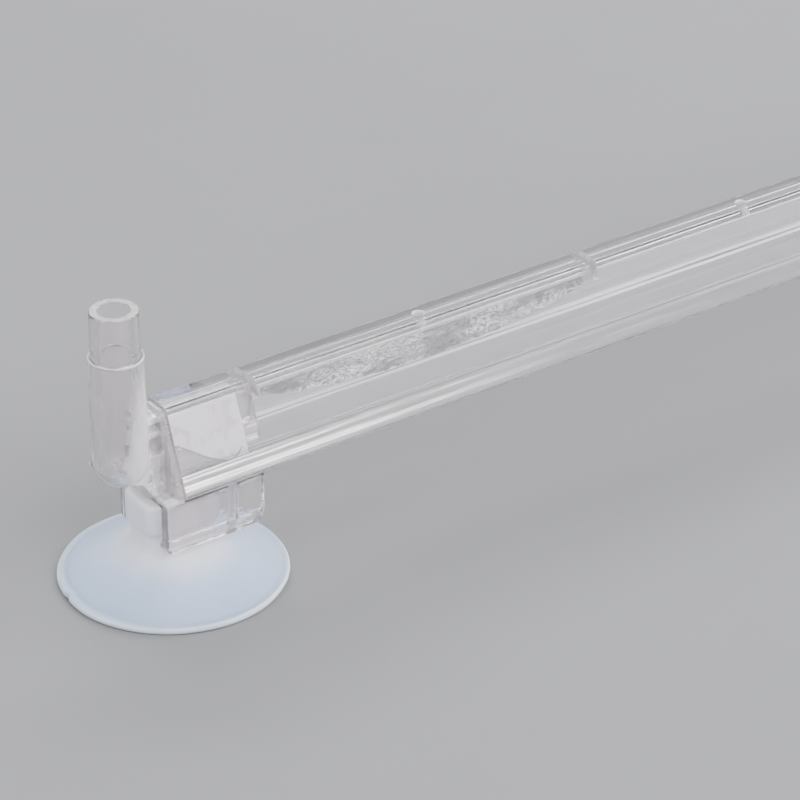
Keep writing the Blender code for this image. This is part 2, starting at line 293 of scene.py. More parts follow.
def bridge(bm, rings):
    """Skins each ring of vertices to the next one."""
    for a, b in zip(rings, rings[1:]):
        for k in range(len(a)):
            after = (k + 1) % len(a)
            bm.faces.new((a[k], a[after], b[after], b[k]))


def apply_modifiers(obj):
    """Replaces the mesh with what its modifiers make of it."""
    graph = bpy.context.evaluated_depsgraph_get()
    mesh = bpy.data.meshes.new_from_object(obj.evaluated_get(graph))
    obj.modifiers.clear()
    obj.data = mesh


def discard(obj):
    bpy.data.objects.remove(obj)


def join(name, objects):
    """One object of all the meshes. Their shells may cross: a remesh makes them one body."""
    bm = bmesh.new()
    for obj in objects:
        bm.from_mesh(obj.data)
        discard(obj)
    mesh = bpy.data.meshes.new(name)
    bm.to_mesh(mesh)
    bm.free()
    return link(bpy.data.objects.new(name, mesh))


def cut(obj, cutters, operation="DIFFERENCE"):
    """Cuts the object with the cutters, which leave their materials on the faces they make."""
    for cutter in cutters:
        modifier = obj.modifiers.new("cut", "BOOLEAN")
        modifier.operation = operation
        modifier.solver = "EXACT"
        modifier.material_mode = "TRANSFER"
        modifier.object = cutter
    apply_modifiers(obj)
    for cutter in cutters:
        discard(cutter)


def remesh(obj, voxel):
    modifier = obj.modifiers.new("remesh", "REMESH")
    modifier.mode = "VOXEL"
    modifier.voxel_size = voxel
    apply_modifiers(obj)


def soften(obj, passes):
    modifier = obj.modifiers.new("soften", "SMOOTH")
    modifier.factor = 0.5
    modifier.iterations = passes
    apply_modifiers(obj)


def lighten(obj, ratio):
    modifier = obj.modifiers.new("lighten", "DECIMATE")
    modifier.ratio = ratio
    apply_modifiers(obj)


# ------------------------------------------------------------------- materials


# Sockets of the Mix node in its colour mode, which share their names with its other modes.
MIX_FACTOR, MIX_FIRST, MIX_SECOND, MIX_RESULT = 0, 6, 7, 2


class Shader:
    """A Principled material with helpers for the nodes that vary it over the surface."""

    def __init__(self, name, **values):
        self.material = bpy.data.materials.new(name)
        self.material.use_nodes = True
        self.tree = self.material.node_tree
        self.main = self.tree.nodes["Principled BSDF"]
        for key, value in values.items():
            socket = self.main.inputs[key.replace("_", " ")]
            socket.default_value = (*value, 1.0) if key == "Base_Color" else value
        self.place = self.tree.nodes.new("ShaderNodeTexCoord").outputs["Object"]

    def scaled(self, scale):
        mapping = self.tree.nodes.new("ShaderNodeMapping")
        mapping.inputs["Scale"].default_value = scale
        self.tree.links.new(self.place, mapping.inputs["Vector"])
        return mapping.outputs["Vector"]

    def noise(self, scale, detail=4.0, distortion=0.0, roughness=0.5):
        """Noise whose grain is 1 / scale metres along each axis."""
        texture = self.tree.nodes.new("ShaderNodeTexNoise")
        texture.inputs["Scale"].default_value = 1.0
        texture.inputs["Detail"].default_value = detail
        texture.inputs["Roughness"].default_value = roughness
        texture.inputs["Distortion"].default_value = distortion
        self.tree.links.new(self.scaled(scale), texture.inputs["Vector"])
        return texture.outputs["Fac"]

    def spread(self, source, low, high, start=0.3, end=0.7):
        """Maps a 0 to 1 source onto low to high."""
        node = self.tree.nodes.new("ShaderNodeMapRange")
        node.inputs["From Min"].default_value = start
        node.inputs["From Max"].default_value = end
        node.inputs["To Min"].default_value = low
        node.inputs["To Max"].default_value = high
        self.tree.links.new(source, node.inputs["Value"])
        return node.outputs["Result"]

    def colors(self, source, stops):
        """Maps a 0 to 1 source onto a ramp of (position, color) stops."""
        node = self.tree.nodes.new("ShaderNodeValToRGB")
        ramp = node.color_ramp
        while len(ramp.elements) < len(stops):
            ramp.elements.new(0.5)
        for element, (position, color) in zip(ramp.elements, stops):
            element.position = position
            element.color = (*color, 1.0)
        self.tree.links.new(source, node.inputs["Fac"])
        return node.outputs["Color"]

    def attribute(self, name):
        node = self.tree.nodes.new("ShaderNodeAttribute")
        node.attribute_name = name
        return node.outputs["Fac"]

    def less(self, first, second, share):
        """first - second * share, point by point."""
        node = self.tree.nodes.new("ShaderNodeMath")
        node.operation = "MULTIPLY_ADD"
        factor, scale, offset = node.inputs[:3]
        self.tree.links.new(second, factor)
        scale.default_value = -share
        self.tree.links.new(first, offset)
        return node.outputs["Value"]

    def multiplied(self, first, second):
        """The product of two colors."""
        node = self.tree.nodes.new("ShaderNodeMix")
        node.data_type = "RGBA"
        node.blend_type = "MULTIPLY"
        node.inputs[MIX_FACTOR].default_value = 1.0
        self.tree.links.new(first, node.inputs[MIX_FIRST])
        self.tree.links.new(second, node.inputs[MIX_SECOND])
        return node.outputs[MIX_RESULT]

    def bump(self, sources, distance):
        """Stacks (height, strength) pairs into one bumped normal."""
        normal = None
        for height, strength in sources:
            node = self.tree.nodes.new("ShaderNodeBump")
            node.inputs["Strength"].default_value = strength
            node.inputs["Distance"].default_value = distance
            self.tree.links.new(height, node.inputs["Height"])
            if normal:
                self.tree.links.new(normal, node.inputs["Normal"])
            normal = node.outputs["Normal"]
        self.tree.links.new(normal, self.main.inputs["Normal"])

    def set(self, **sockets):
        """Links sources to the Principled node, with underscores for spaces in socket names."""
        for key, source in sockets.items():
            self.tree.links.new(source, self.main.inputs[key.replace("_", " ")])


def clear_tube_material(name, tint):
    """Extruded clear plastic: faint draw lines along X and a trace of haze."""
    shader = Shader(name, Base_Color=tint, Transmission_Weight=1.0, Roughness=0.03, IOR=1.49)
    draw = shader.noise((9, 1100, 1100), detail=4)
    ripple = shader.noise((130, 240, 240), detail=3)
    haze = shader.noise((90, 900, 900), detail=5)
    shader.set(
        Roughness=shader.spread(haze, 0.015, 0.09),
        Transmission_Weight=shader.spread(haze, 0.995, 0.96),
    )
    shader.bump([(draw, 0.16), (ripple, 0.06)], 0.0001)
    return shader.material


def mould_material(name, clear_high, clear_low):
    """Injection-moulded clear plastic: flow marks, and streaks drawn down by the mould."""
    shader = Shader(
        name, Base_Color=(0.985, 0.95, 0.975), Transmission_Weight=1.0, Roughness=0.05, IOR=1.5,
    )
    flow = shader.noise((240, 240, 130), detail=4, distortion=0.6)
    streak = shader.noise((1300, 1300, 110), detail=4)
    grain = shader.noise((1600, 1600, 1600), detail=3)
    shader.set(
        Roughness=shader.spread(flow, 0.02, 0.12),
        # Clarity drops where the moulding is cloudy, and on the spigot where light is painted in
        # as a whitish patch.
        Transmission_Weight=shader.less(
            shader.spread(streak, clear_high, clear_low), shader.attribute("milk_and_painted_light"), MILKINESS_AND_PAINTED_LIGHT
        ),
    )
    shader.bump([(flow, 0.2), (streak, 0.12), (grain, 0.04)], 0.0002)
    return shader.material


def frosted_material(name, tint, rough_low, rough_high, clear_low, clear_high):
    """Clear plastic with an etched, sawn or smeared skin, milky where it scatters."""
    shader = Shader(name, Base_Color=tint, Transmission_Weight=0.6, Roughness=0.4, IOR=1.47)
    cloud = shader.noise((420, 420, 420), detail=6, distortion=0.8)
    fine = shader.noise((2600, 2600, 2600), detail=3)
    dull = [0.72 * channel for channel in tint]
    shader.set(
        Base_Color=shader.colors(cloud, [(0.38, dull), (0.58, tint)]),
        Roughness=shader.spread(cloud, rough_low, rough_high),
        Transmission_Weight=shader.spread(cloud, clear_low, clear_high),
    )
    shader.bump([(cloud, 0.35), (fine, 0.2)], 0.0001)
    return shader.material


def painted_corner_highlight_material():
    """The far lower corner of the tube, milky white in long streaks: a painted highlight line."""
    shader = Shader(
        "extruded_corner_painted_highlight", Base_Color=(1.0, 0.98, 1.0), Transmission_Weight=0.5,
        Roughness=0.2, IOR=1.49,
    )
    streak = shader.noise((60, 2400, 2400), detail=3)
    fleck = shader.noise((900, 1500, 1500), detail=3)
    shader.set(
        Transmission_Weight=shader.spread(streak, 0.0, 0.35),
        Roughness=shader.spread(fleck, 0.1, 0.3),
    )
    shader.bump([(streak, 0.2), (fleck, 0.15)], 0.0001)
    return shader.material


def crinkled_material():
    """A crumpled clear film: bright creases wandering over greyer, glossier patches."""
    shader = Shader(
        "crinkled_film", Base_Color=(0.9, 0.9, 0.93), Transmission_Weight=0.6, Roughness=0.15,
        IOR=1.47,
    )
    crease = shader.noise((420, 1000, 1000), detail=3, distortion=2.0)
    patch = shader.noise((160, 500, 500), detail=4, distortion=0.8)
    shade = shader.noise((110, 420, 420), detail=3, distortion=0.4)
    grey, white = (0.12, 0.115, 0.13), (1.0, 0.99, 1.0)
    bands = [
        (0.38, grey), (0.42, white), (0.46, white), (0.49, grey),
        (0.54, grey), (0.57, white), (0.61, white), (0.65, grey),
    ]
    shader.set(
        Base_Color=shader.multiplied(
            shader.colors(crease, bands),
            shader.colors(shade, [(0.42, (0.24, 0.23, 0.26)), (0.55, (1.0, 1.0, 1.0))]),
        ),
        Transmission_Weight=shader.spread(patch, 0.05, 0.55),
        Roughness=shader.spread(patch, 0.3, 0.06),
    )
    shader.bump([(patch, 0.5), (crease, 0.7)], 0.0001)
    return shader.material


def silicone_material():
    """Milky, faintly blue silicone with a satin skin."""
    shader = Shader(
        "milky_silicone", Base_Color=(0.72, 0.79, 0.88), Roughness=0.38, IOR=1.43,
        Subsurface_Weight=0.55, Subsurface_Scale=0.0022, Transmission_Weight=0.12,
    )
    shader.main.inputs["Subsurface Radius"].default_value = (0.8, 0.95, 1.0)
    cloud = shader.noise((150, 150, 150), detail=4, distortion=0.5)
    fine = shader.noise((1800, 1800, 1800), detail=4)
    thinning_and_lip_highlight = shader.colors(  # milky at the thick middle, bluer towards the thin lip, and a painted highlight along the lip's outer edge
        shader.attribute("reach"),
        [
            (0.25, (0.98, 0.93, 0.96)), (0.42, (0.70, 0.73, 0.83)), (0.6, (0.48, 0.57, 0.76)),
            # The last stop paints a highlight along the lip's outer edge.
            (0.86, (0.39, 0.48, 0.66)), (0.974, (0.36, 0.44, 0.58)), (0.998, (0.68, 0.75, 0.83)),
        ],
    )
    mottle = shader.colors(cloud, [(0.3, (0.86, 0.88, 0.90)), (0.7, (1.0, 0.99, 0.99))])
    shader.set(
        Base_Color=shader.multiplied(thinning_and_lip_highlight, mottle),
        Roughness=shader.spread(fine, 0.3, 0.46),
    )
    shader.bump([(cloud, 0.15), (fine, 0.12)], 0.0001)
    return shader.material


def floor_material():
    shader = Shader("floor", Base_Color=(0.18, 0.18, 0.186), Roughness=0.7)
    mottle = shader.noise((14, 14, 14), detail=4)
    stops = [(0.35, (0.175, 0.175, 0.181)), (0.65, (0.186, 0.186, 0.192))]
    shader.set(Base_Color=shader.colors(mottle, stops))
    return shader.material


CLEAR_TUBE = clear_tube_material("clear_tube", (0.99, 0.965, 0.985))
# A near-black tint for the line along the far lower corner: painted shade.
PAINTED_SHADE_LINE = clear_tube_material("clear_tube_painted_shade_line", (0.1, 0.09, 0.11))
# A darker lavender tint for the tube's underside: painted shade.
PAINTED_BASE_SHADE = clear_tube_material("clear_tube_painted_base_shade", (0.58, 0.55, 0.62))
CLEAR_MOULD = mould_material("clear_moulding", 0.99, 0.93)
MILKY_MOULD = mould_material("milky_moulding", 0.8, 0.5)
FROSTED_PLUG = frosted_material("frosted_plug", (1.0, 0.97, 1.0), 0.2, 0.45, 0.0, 0.18)
SAWN = frosted_material("sawn_edge", (0.99, 0.95, 0.98), 0.2, 0.4, 0.25, 0.55)
CRINKLED = crinkled_material()
CEMENT = frosted_material("cement", (0.42, 0.4, 0.44), 0.1, 0.3, 0.1, 0.3)
# Milky white streaks on the far lower corner: a painted highlight line.
CORNER_HIGHLIGHT = painted_corner_highlight_material()
RIM = frosted_material("flange_rim", (0.58, 0.52, 0.55), 0.2, 0.4, 0.35, 0.6)
WETTED_PLUG = frosted_material("wetted_plug", (0.97, 0.95, 0.99), 0.1, 0.3, 0.5, 0.8)
SILICONE = silicone_material()


# ------------------------------------------------------------------------ tube


def outlet_cutters():
    """The saw cuts across the roof, each a little askew, and the drilled holes between them."""
    cutters = []
    for i, skew in enumerate(SLIT_SKEWS):
        slit = block(
            "slit", (-SLIT_WIDTH / 2, -BASE / 2, TUBE_ROOF - SLIT_DEPTH),
            (SLIT_WIDTH / 2, BASE / 2, TUBE_ROOF + MM),
        )
        x = TUBE_START + FIRST_SLIT + i * SLIT_PITCH
        slit.data.transform(
            Matrix.Translation((x, 0, 0)) @ Matrix.Rotation(math.radians(skew), 4, "Z")
        )
        slit.data.materials.append(SAWN)
        cutters.append(slit)
    for i in range(HOLE_COUNT):
        x = TUBE_START + FIRST_SLIT + (i + 0.5) * SLIT_PITCH
        low = TUBE_ROOF - WALL - MM / 2
        hole = turned(
            "hole",
            [
                (0, low),
                (HOLE_RADIUS, low),
                (HOLE_RADIUS, TUBE_ROOF - HOLE_CHAMFER),
                (HOLE_RADIUS + 2 * HOLE_CHAMFER, TUBE_ROOF + HOLE_CHAMFER),
                (0, TUBE_ROOF + HOLE_CHAMFER),
            ],
            x, segments=40,
        )
        hole.data.materials.append(SAWN)
        cutters.append(hole)
    return cutters


def tube_finish(center, normal):
    """The tube's material on a face, or None where the face keeps what it has. The ends are sawn,
    the underside is tinted darker as painted shade, and the far lower corner is milky white as a
    painted highlight, with a near-black painted shade line along it."""
    at_end = min(center.x - TUBE_START, TUBE_END - center.x) < TINY
    if at_end and abs(normal.x) > 0.9:
        return SAWN
    # The underside takes a darker tint: painted shade.
    if normal.z < -0.95 and center.z < TUBE_FLOOR + TINY:
        return PAINTED_BASE_SHADE
    far_and_low = center.y > 0 and center.z < TUBE_FLOOR + 2 * WALL
    # The far lower corner: a milky white streak as a painted highlight, with a near-black painted
    # shade line along it.
    if far_and_low and abs(normal.x) < 0.1 and CORNER_TILT[0] < normal.z < CORNER_TILT[1]:
        return PAINTED_SHADE_LINE if SHADE_LINE_TILT[0] < normal.z < SHADE_LINE_TILT[1] else CORNER_HIGHLIGHT
    return None


def make_tube():
    outer = rounded(section(), OUTER_RADII)
    inner = rounded(inset(section(), WALL), CHAMBER_RADII, steps=14)
    tube = prism("air_tube_shell", outer, TUBE_START, TUBE_END, along_x)
    tube.data.materials.append(CLEAR_TUBE)
    chamber = prism("chamber", inner, TUBE_START - MM, TUBE_END + MM, along_x)
    chamber.data.materials.append(CLEAR_TUBE)
    cut(tube, [chamber] + outlet_cutters())
    for material in (CORNER_HIGHLIGHT, PAINTED_BASE_SHADE, PAINTED_SHADE_LINE):
        tube.data.materials.append(material)
    for polygon in tube.data.polygons:
        material = tube_finish(polygon.center, polygon.normal)
        if material:
            polygon.material_index = tube.data.materials.find(material.name)
    shade_smooth(tube, 30)
    weighted = tube.modifiers.new("normals", "WEIGHTED_NORMAL")
    weighted.keep_sharp = True
    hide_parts("air_tube")
    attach(tube, "bar")


# ---------------------------------------------------------------- end fittings


def rail_outline(side):
    """The section (y, z) of one rail, drawn in towards its foot, with a small lip inwards."""
    inner = FOOT_WIDTH / 2 - RAIL
    top = TUBE_FLOOR - PLATE_THICK / 2
    outline = [
        (PLATE_WIDTH / 2, top),
        (PLATE_WIDTH / 2 - RAIL, top),
        (inner, FOOT_Z + MM + LIP),
        (inner - LIP, FOOT_Z + MM),
        (inner - LIP, FOOT_Z + LIP / 2),
        (inner - LIP / 2, FOOT_Z),
        (FOOT_WIDTH / 2 - LIP / 2, FOOT_Z),
        (FOOT_WIDTH / 2, FOOT_Z + LIP / 2),
    ]
    return [(side * y, z) for y, z in outline]


def bracket_solids():
    """The shells of a fitting without a spigot: flange, plug, plate, rails, stops and posts."""
    flange = rounded(inset(section(), FLANGE_INSET), OUTER_RADII)
    flange = [(y, z - FLANGE_DROP if z < TUBE_FLOOR + MM else z) for y, z in flange]
    plug = rounded(inset(section(), WALL + PLUG_GAP), [PLUG_CORNER] * 4)
    nose = rounded(inset(section(), WALL + PLUG_GAP + NOSE_INSET), [NOSE_CORNER] * 4)
    plate_top = TUBE_FLOOR - PLATE_GAP
    solids = [
        prism("flange", flange, -FLANGE, 0.0, along_x),
        prism("plug", plug, -FLANGE / 2, PLUG, along_x),
        prism("nose", nose, PLUG - FLANGE, NOSE, along_x),
        block(
            "plate", (PLATE_START, -PLATE_WIDTH / 2, plate_top - PLATE_THICK),
            (PLATE_END, PLATE_WIDTH / 2, plate_top),
        ),
    ]
    envelope = rounded(
        [
            (PLATE_START, FOOT_Z),
            (PLATE_END, FOOT_Z),
            (PLATE_END, plate_top),
            (PLATE_START, plate_top),
        ],
        [OUTER_FOOT_RADIUS, INNER_FOOT_RADIUS, 0, 0],
    )
    for side in (-1, 1):
        rail = prism("rail", rail_outline(side), PLATE_START - MM, PLATE_END + MM, along_x)
        cut(rail, [prism("trim", envelope, -BASE, BASE, along_y)], "INTERSECT")
        middle = FOOT_WIDTH / 2 - RAIL / 2
        low, high = sorted((side * (FOOT_WIDTH / 2 - RAIL - STOP_REACH), side * middle))
        stop = block(
            "stop", (STOP_START, low, FOOT_Z + MM / 2),
            (STOP_START + STOP_LENGTH, high, plate_top - PLATE_THICK / 2),
        )
        low, high = sorted((side * middle, side * (FOOT_WIDTH / 2 + POST_PROUD)))
        post = block(
            "post", (PLATE_START + POST_START, low, FOOT_Z + MM / 4),
            (PLATE_START + POST_LENGTH, high, plate_top - PLATE_THICK / 2),
        )
        solids += [rail, stop, post]
    return solids


def spigot_solids():
    """The shells of the stepped spigot, its arm and the rib and shelves that stiffen it."""
    ball = []
    steps = 24
    for k in range(steps + 1):
        angle = math.radians(-90 + 90 * k / steps)
        ball.append((BALL_RADIUS * math.cos(angle), BALL_Z + BALL_RADIUS * math.sin(angle)))
    body = turned(
        "spigot",
        ball + [
            (BODY_RADIUS, SPIGOT_STEP), (NECK_RADIUS, SPIGOT_STEP),
            (TIP_RADIUS, SPIGOT_TOP), (0, SPIGOT_TOP),
        ],
        SPIGOT_X,
    )
    gate = turned("gate", GATE_OUTLINE, segments=12)
    gate.data.transform(Matrix.Translation((SPIGOT_X + GATE_PLACE[0], GATE_PLACE[1], 0)))
    inside = -FLANGE / 2
    arm = [
        *ARM_UNDERSIDE, (inside, ARM_UNDERSIDE[-1][1]), (inside, ARM_TOP), (SPIGOT_X, ARM_TOP),
    ]
    solids = [
        body,
        gate,
        prism("arm", arm, -ARM_HALF_WIDTH, ARM_HALF_WIDTH, along_y),
        block("rib", (SPIGOT_X, -RIB_HALF_WIDTH, RIB_FOOT), (inside, RIB_HALF_WIDTH, RIB_TOP)),
    ]
    for z in SHELF_LEVELS:
        solids.append(block(
            "shelf", (SPIGOT_X, -SHELF_HALF_WIDTH, z), (inside, SHELF_HALF_WIDTH, z + SHELF_THICK)
        ))
    return solids


def spigot_bores():
    """The cutters for the airline's bore and for the passage from it into the tube."""
    bore = turned(
        "bore",
        [
            (0, BORE_FLOOR), (0.5 * BORE_RADIUS, BORE_FLOOR + BORE_DISH),
            (BORE_RADIUS, BORE_FLOOR + MM), (BORE_RADIUS, SPIGOT_TOP + MM), (0, SPIGOT_TOP + MM),
        ],
        SPIGOT_X,
    )
    return [bore, passage_cutter(SPIGOT_X)]


def passage_cutter(start):
    """A round cutter along X, from start to just past the plug's nose."""
    length = NOSE - start + MM
    passage = turned(
        "passage", [(0, 0), (PASSAGE_RADIUS, 0), (PASSAGE_RADIUS, length), (0, length)],
        segments=64,
    )
    passage.data.transform(
        Matrix.Translation((start, 0, PASSAGE_Z)) @ Matrix.Rotation(math.pi / 2, 4, "Y")
    )
    return passage


def cement_line(x):
    """Height of the edge of the cement on the plug's side, x from the tube's end face."""
    t = min(max(x / CEMENT_RUN, 0.0), 1.0)
    return CEMENT_TOP - CEMENT_DROP * math.sin(t * math.pi / 2) ** 1.4


def milk_and_painted_light_at(x, y, z):
    """Cloudiness of the moulding and painted light: a trace of cloudiness in the rails, and on
    the spigot a whitish painted light, in place of the light that its arm and plug send
    through it, which climbs from its arm and thins out towards its step."""
    if z < TUBE_FLOOR - PLATE_THICK:
        return RAIL_MILK
    if math.hypot(x - SPIGOT_X, y) > BALL_RADIUS + NEAR or z > SPIGOT_STEP:
        return 0.0
    # Painted light: whitish on the side towards the arm, drawing back as it climbs.
    toward = ((x - SPIGOT_X) * PAINTED_LIGHT_SIDE[0] + y * PAINTED_LIGHT_SIDE[1]) / BALL_RADIUS
    edge = PAINTED_LIGHT_LEAN * (z - PAINTED_LIGHT_FOOT) / (SPIGOT_STEP - PAINTED_LIGHT_FOOT)
    return smooth_step((toward - edge) / PAINTED_LIGHT_SOFTNESS)


def smooth_step(t):
    """Eases from 0 to 1 as t goes from 0 to 1."""
    t = min(max(t, 0.0), 1.0)
    return t * t * (3 - 2 * t)


def fitting_finish(x, y, z, normal):
    """The material of a fitting on a face, from the face's middle and its normal. The spigot's
    tip and the flange's rim are frosted, and so is the plug above the edge of the cement. The
    arm and the plate's outer end are milky, and the rest is clear."""
    from_axis = math.hypot(x - SPIGOT_X, y)
    in_passage = math.hypot(y, z - PASSAGE_Z) < PASSAGE_RADIUS + NEAR
    if z > SPIGOT_TOP - NEAR and normal.z > 0.7:
        return RIM
    if from_axis < BORE_RADIUS + NEAR and z < BORE_FLOOR + MM + NEAR:
        return WETTED_PLUG if z > BORE_FLOOR - 2 * NEAR else CLEAR_MOULD
    if 0.05 * MM < x < PLUG - NEAR and z > TUBE_FLOOR + WALL and not in_passage:
        return FROSTED_PLUG if z > cement_line(x) else WETTED_PLUG
    if -FLANGE < x < 0.02 * MM and abs(normal.x) < 0.6 and z > TUBE_FLOOR:
        return RIM
    on_spigot = from_axis < BALL_RADIUS + NEAR
    if x < 0 and z > TUBE_FLOOR - 4 * NEAR and not in_passage and not on_spigot:
        return MILKY_MOULD
    return CLEAR_MOULD


def wrinkle(fitting):
    """Sink marks and flow waves in the rails, strongest beyond their stops."""
    moved = []
    for vertex in fitting.data.vertices:
        place = vertex.co.copy()
        if place.z < TUBE_FLOOR - PLATE_THICK - 3 * NEAR:
            spot = place / MM
            share = 0.25 + 0.75 * smooth_step((place.x - STOP_START) / MM)
            wave = noise.noise(spot * 1.1) + 0.5 * noise.noise(spot * 2.3)
            place += vertex.normal * (share * wave * WRINKLE)
        moved.extend(place)
    fitting.data.vertices.foreach_set("co", moved)
    fitting.data.update()


def make_fitting(name, solids, cutters, end):
    """Fuses the shells into one moulding with soft edges, and gives each face its material."""
    fitting = join(name, solids)
    remesh(fitting, VOXEL)
    cut(fitting, cutters)
    remesh(fitting, VOXEL)
    soften(fitting, SOFTEN)
    wrinkle(fitting)
    lighten(fitting, LIGHTEN)
    fitting.data.materials.clear()
    for material in (CLEAR_MOULD, FROSTED_PLUG, WETTED_PLUG, RIM, MILKY_MOULD):
        fitting.data.materials.append(material)
    for polygon in fitting.data.polygons:
        material = fitting_finish(*polygon.center, polygon.normal)
        polygon.material_index = fitting.data.materials.find(material.name)
    # Cloudiness per point, which on the spigot is painted light.
    milk_and_painted_light = fitting.data.attributes.new("milk_and_painted_light", "FLOAT", "POINT")
    milk_and_painted_light.data.foreach_set("value", [milk_and_painted_light_at(*vertex.co) for vertex in fitting.data.vertices])
    shade_smooth(fitting)
    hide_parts(name.replace("_moulding", "_end_fitting"))
    finish_end(fitting, end, "bar")


def finish_end(obj, end, body):
    """Stands a piece drawn from a tube's end face at that end, and hands it to its body."""
    obj.data.transform(end)
    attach(obj, body)


def make_cement(name, side, end):
    """The thin edge of cured cement between the plug and the tube's wall."""
    wall = inset(section(), WALL + PLUG_GAP / 2)
    low, high = (wall[0], wall[3]) if side < 0 else (wall[1], wall[2])
    steps, sides = 60, 8
    points = []
    for k in range(steps + 1):
        x = CEMENT_START + CEMENT_LENGTH * k / steps
        z = max(cement_line(x), TUBE_FLOOR + WALL + CEMENT_CLEARANCE)
        z += CEMENT_RISE * max(0.0, (x - CEMENT_TURN_UP) / MM) ** 2
        share = (z - low.y) / (high.y - low.y)
        points.append(Vector((x, low.x + (high.x - low.x) * share, z)))
    bm = bmesh.new()
    rings = []
    for k, point in enumerate(points):
        ahead = (points[min(k + 1, steps)] - points[max(k - 1, 0)]).normalized()
        across = ahead.cross(Vector((0, 1, 0))).normalized()
        out = ahead.cross(across)
        ring = []
        for s in range(sides):
            angle = math.tau * s / sides
            offset = across * math.cos(angle) * 1.6 + out * math.sin(angle) * 0.8
            ring.append(bm.verts.new(point + offset * CEMENT_RADIUS))
        rings.append(ring)
    bridge(bm, rings)
    bm.faces.new(rings[0])
    bm.faces.new(rings[-1])
    bead = mesh_object(name, bm)
    bead.data.materials.append(CEMENT)
    shade_smooth(bead)
    finish_end(bead, end, "bar")


def make_flash(end):
    """A thin uneven fin of moulding flash round the spigot's step."""
    bm = bmesh.new()
    inner, outer = BODY_RADIUS - 0.14 * MM, BODY_RADIUS + 0.02 * MM
    rings = []
    for k in range(ROUND):
        angle = math.tau * k / ROUND
        spot = Vector((math.cos(angle), math.sin(angle), 0)) * 2.2
        # How far the fin stands above the step, in millimetres.
        lift = 0.10 + 0.16 * max(0.0, noise.noise(spot) + 0.35) + 0.05 * noise.noise(spot * 4)
        rings.append([
            bm.verts.new((
                SPIGOT_X + radius * math.cos(angle), radius * math.sin(angle), SPIGOT_STEP + z * MM
            ))
            for radius, z in (
                (inner, -0.12), (outer, -0.16), (outer + 0.02 * MM, -0.02),
                (outer - 0.04 * MM, lift), (inner + 0.04 * MM, lift * 0.7),
            )
        ])
    bridge(bm, rings + rings[:1])
    flash = mesh_object("spigot_flash", bm)
    flash.data.materials.append(SAWN)
    shade_smooth(flash)
    finish_end(flash, end, "bar")


# --------------------------------------------------------------- suction cups

# Rings of the cup as (z, half length, half width, squareness), in millimetres, from the
# middle of the underside, out round the lip, and up to the middle of the head's top.
CUP_RINGS = [
    (2.30, 0.8, 0.8, 2), (2.28, 2.2, 2.2, 2), (2.18, 3.8, 3.8, 2), (1.98, 5.2, 5.2, 2),
    (1.68, 6.5, 6.5, 2), (1.36, 7.6, 7.6, 2), (1.02, 8.6, 8.6, 2), (0.64, 9.6, 9.6, 2),
    (0.30, 10.4, 10.4, 2), (0.06, 10.95, 10.95, 2), (0.00, 11.2, 11.2, 2), (0.00, 12.1, 12.1, 2),
    (0.04, 12.32, 12.32, 2), (0.16, 12.46, 12.46, 2), (0.36, 12.5, 12.5, 2),
    (0.56, 12.48, 12.48, 2), (0.70, 12.40, 12.40, 2), (0.77, 12.28, 12.28, 2),
    (0.78, 12.1, 12.1, 2), (0.76, 11.85, 11.85, 2), (0.80, 11.65, 11.65, 2),
    (0.92, 11.45, 11.45, 2), (1.12, 11.05, 11.05, 2), (1.42, 10.3, 10.3, 2),
    (1.78, 9.5, 9.5, 2), (2.18, 8.6, 8.6, 2), (2.60, 7.7, 7.7, 2), (3.02, 6.85, 6.85, 2),
    (3.42, 6.1, 6.1, 2), (3.80, 5.5, 5.4, 2.05), (4.14, 5.05, 4.75, 2.15),
    (4.46, 4.72, 4.15, 2.4), (4.76, 4.48, 3.6, 2.8), (5.06, 4.34, 3.15, 3.3),
    (5.36, 4.26, 2.82, 3.9), (5.70, 4.22, 2.64, 4.4), (6.10, 4.20, 2.57, 4.8),
    (6.50, 4.20, 2.55, 5), (6.82, 4.22, 2.57, 5), (6.98, 4.27, 2.66, 5), (7.06, 4.36, 2.84, 5),
    (7.12, 4.44, 2.98, 5), (7.24, 4.49, 3.07, 5), (7.45, 4.5, 3.1, 5), (8.2, 4.5, 3.1, 5),
    (9.2, 4.5, 3.1, 5), (10.05, 4.5, 3.1, 5), (10.32, 4.47, 3.07, 5), (10.50, 4.39, 2.99, 5),
    (10.60, 4.26, 2.86, 5), (10.64, 4.08, 2.7, 5), (10.65, 3.7, 2.4, 4.5), (10.62, 2.8, 1.9, 3.5),
    (10.60, 1.8, 1.3, 2.6), (10.60, 0.8, 0.7, 2),
]
# Unevenness of the flare below FLARE_TOP, in millimetres. It grows outwards from FLARE_START
# over FLARE_GROWTH, and spares what the cup stands on, which lies below FLARE_FOOT.
FLARE_START, FLARE_GROWTH = 9.0, 3.0
FLARE_FOOT, FLARE_TOP = 0.3, 2.4
RIPPLE, WAVE = 0.07, 0.05  # in and out, and up and down
NICK_DEPTH = 0.22

# The tear-off mark on the lip: where it is, and its half width, in radians.
NICK_ANGLE = math.radians(172)
NICK_SPREAD = 0.03


def cup_radius(angle, half_length, half_width, squareness):
    """Distance to a rounded oblong, a circle where squareness is 2."""
    x = abs(math.cos(angle) / half_length) ** squareness
    y = abs(math.sin(angle) / half_width) ** squareness
    return (x + y) ** (-1 / squareness)


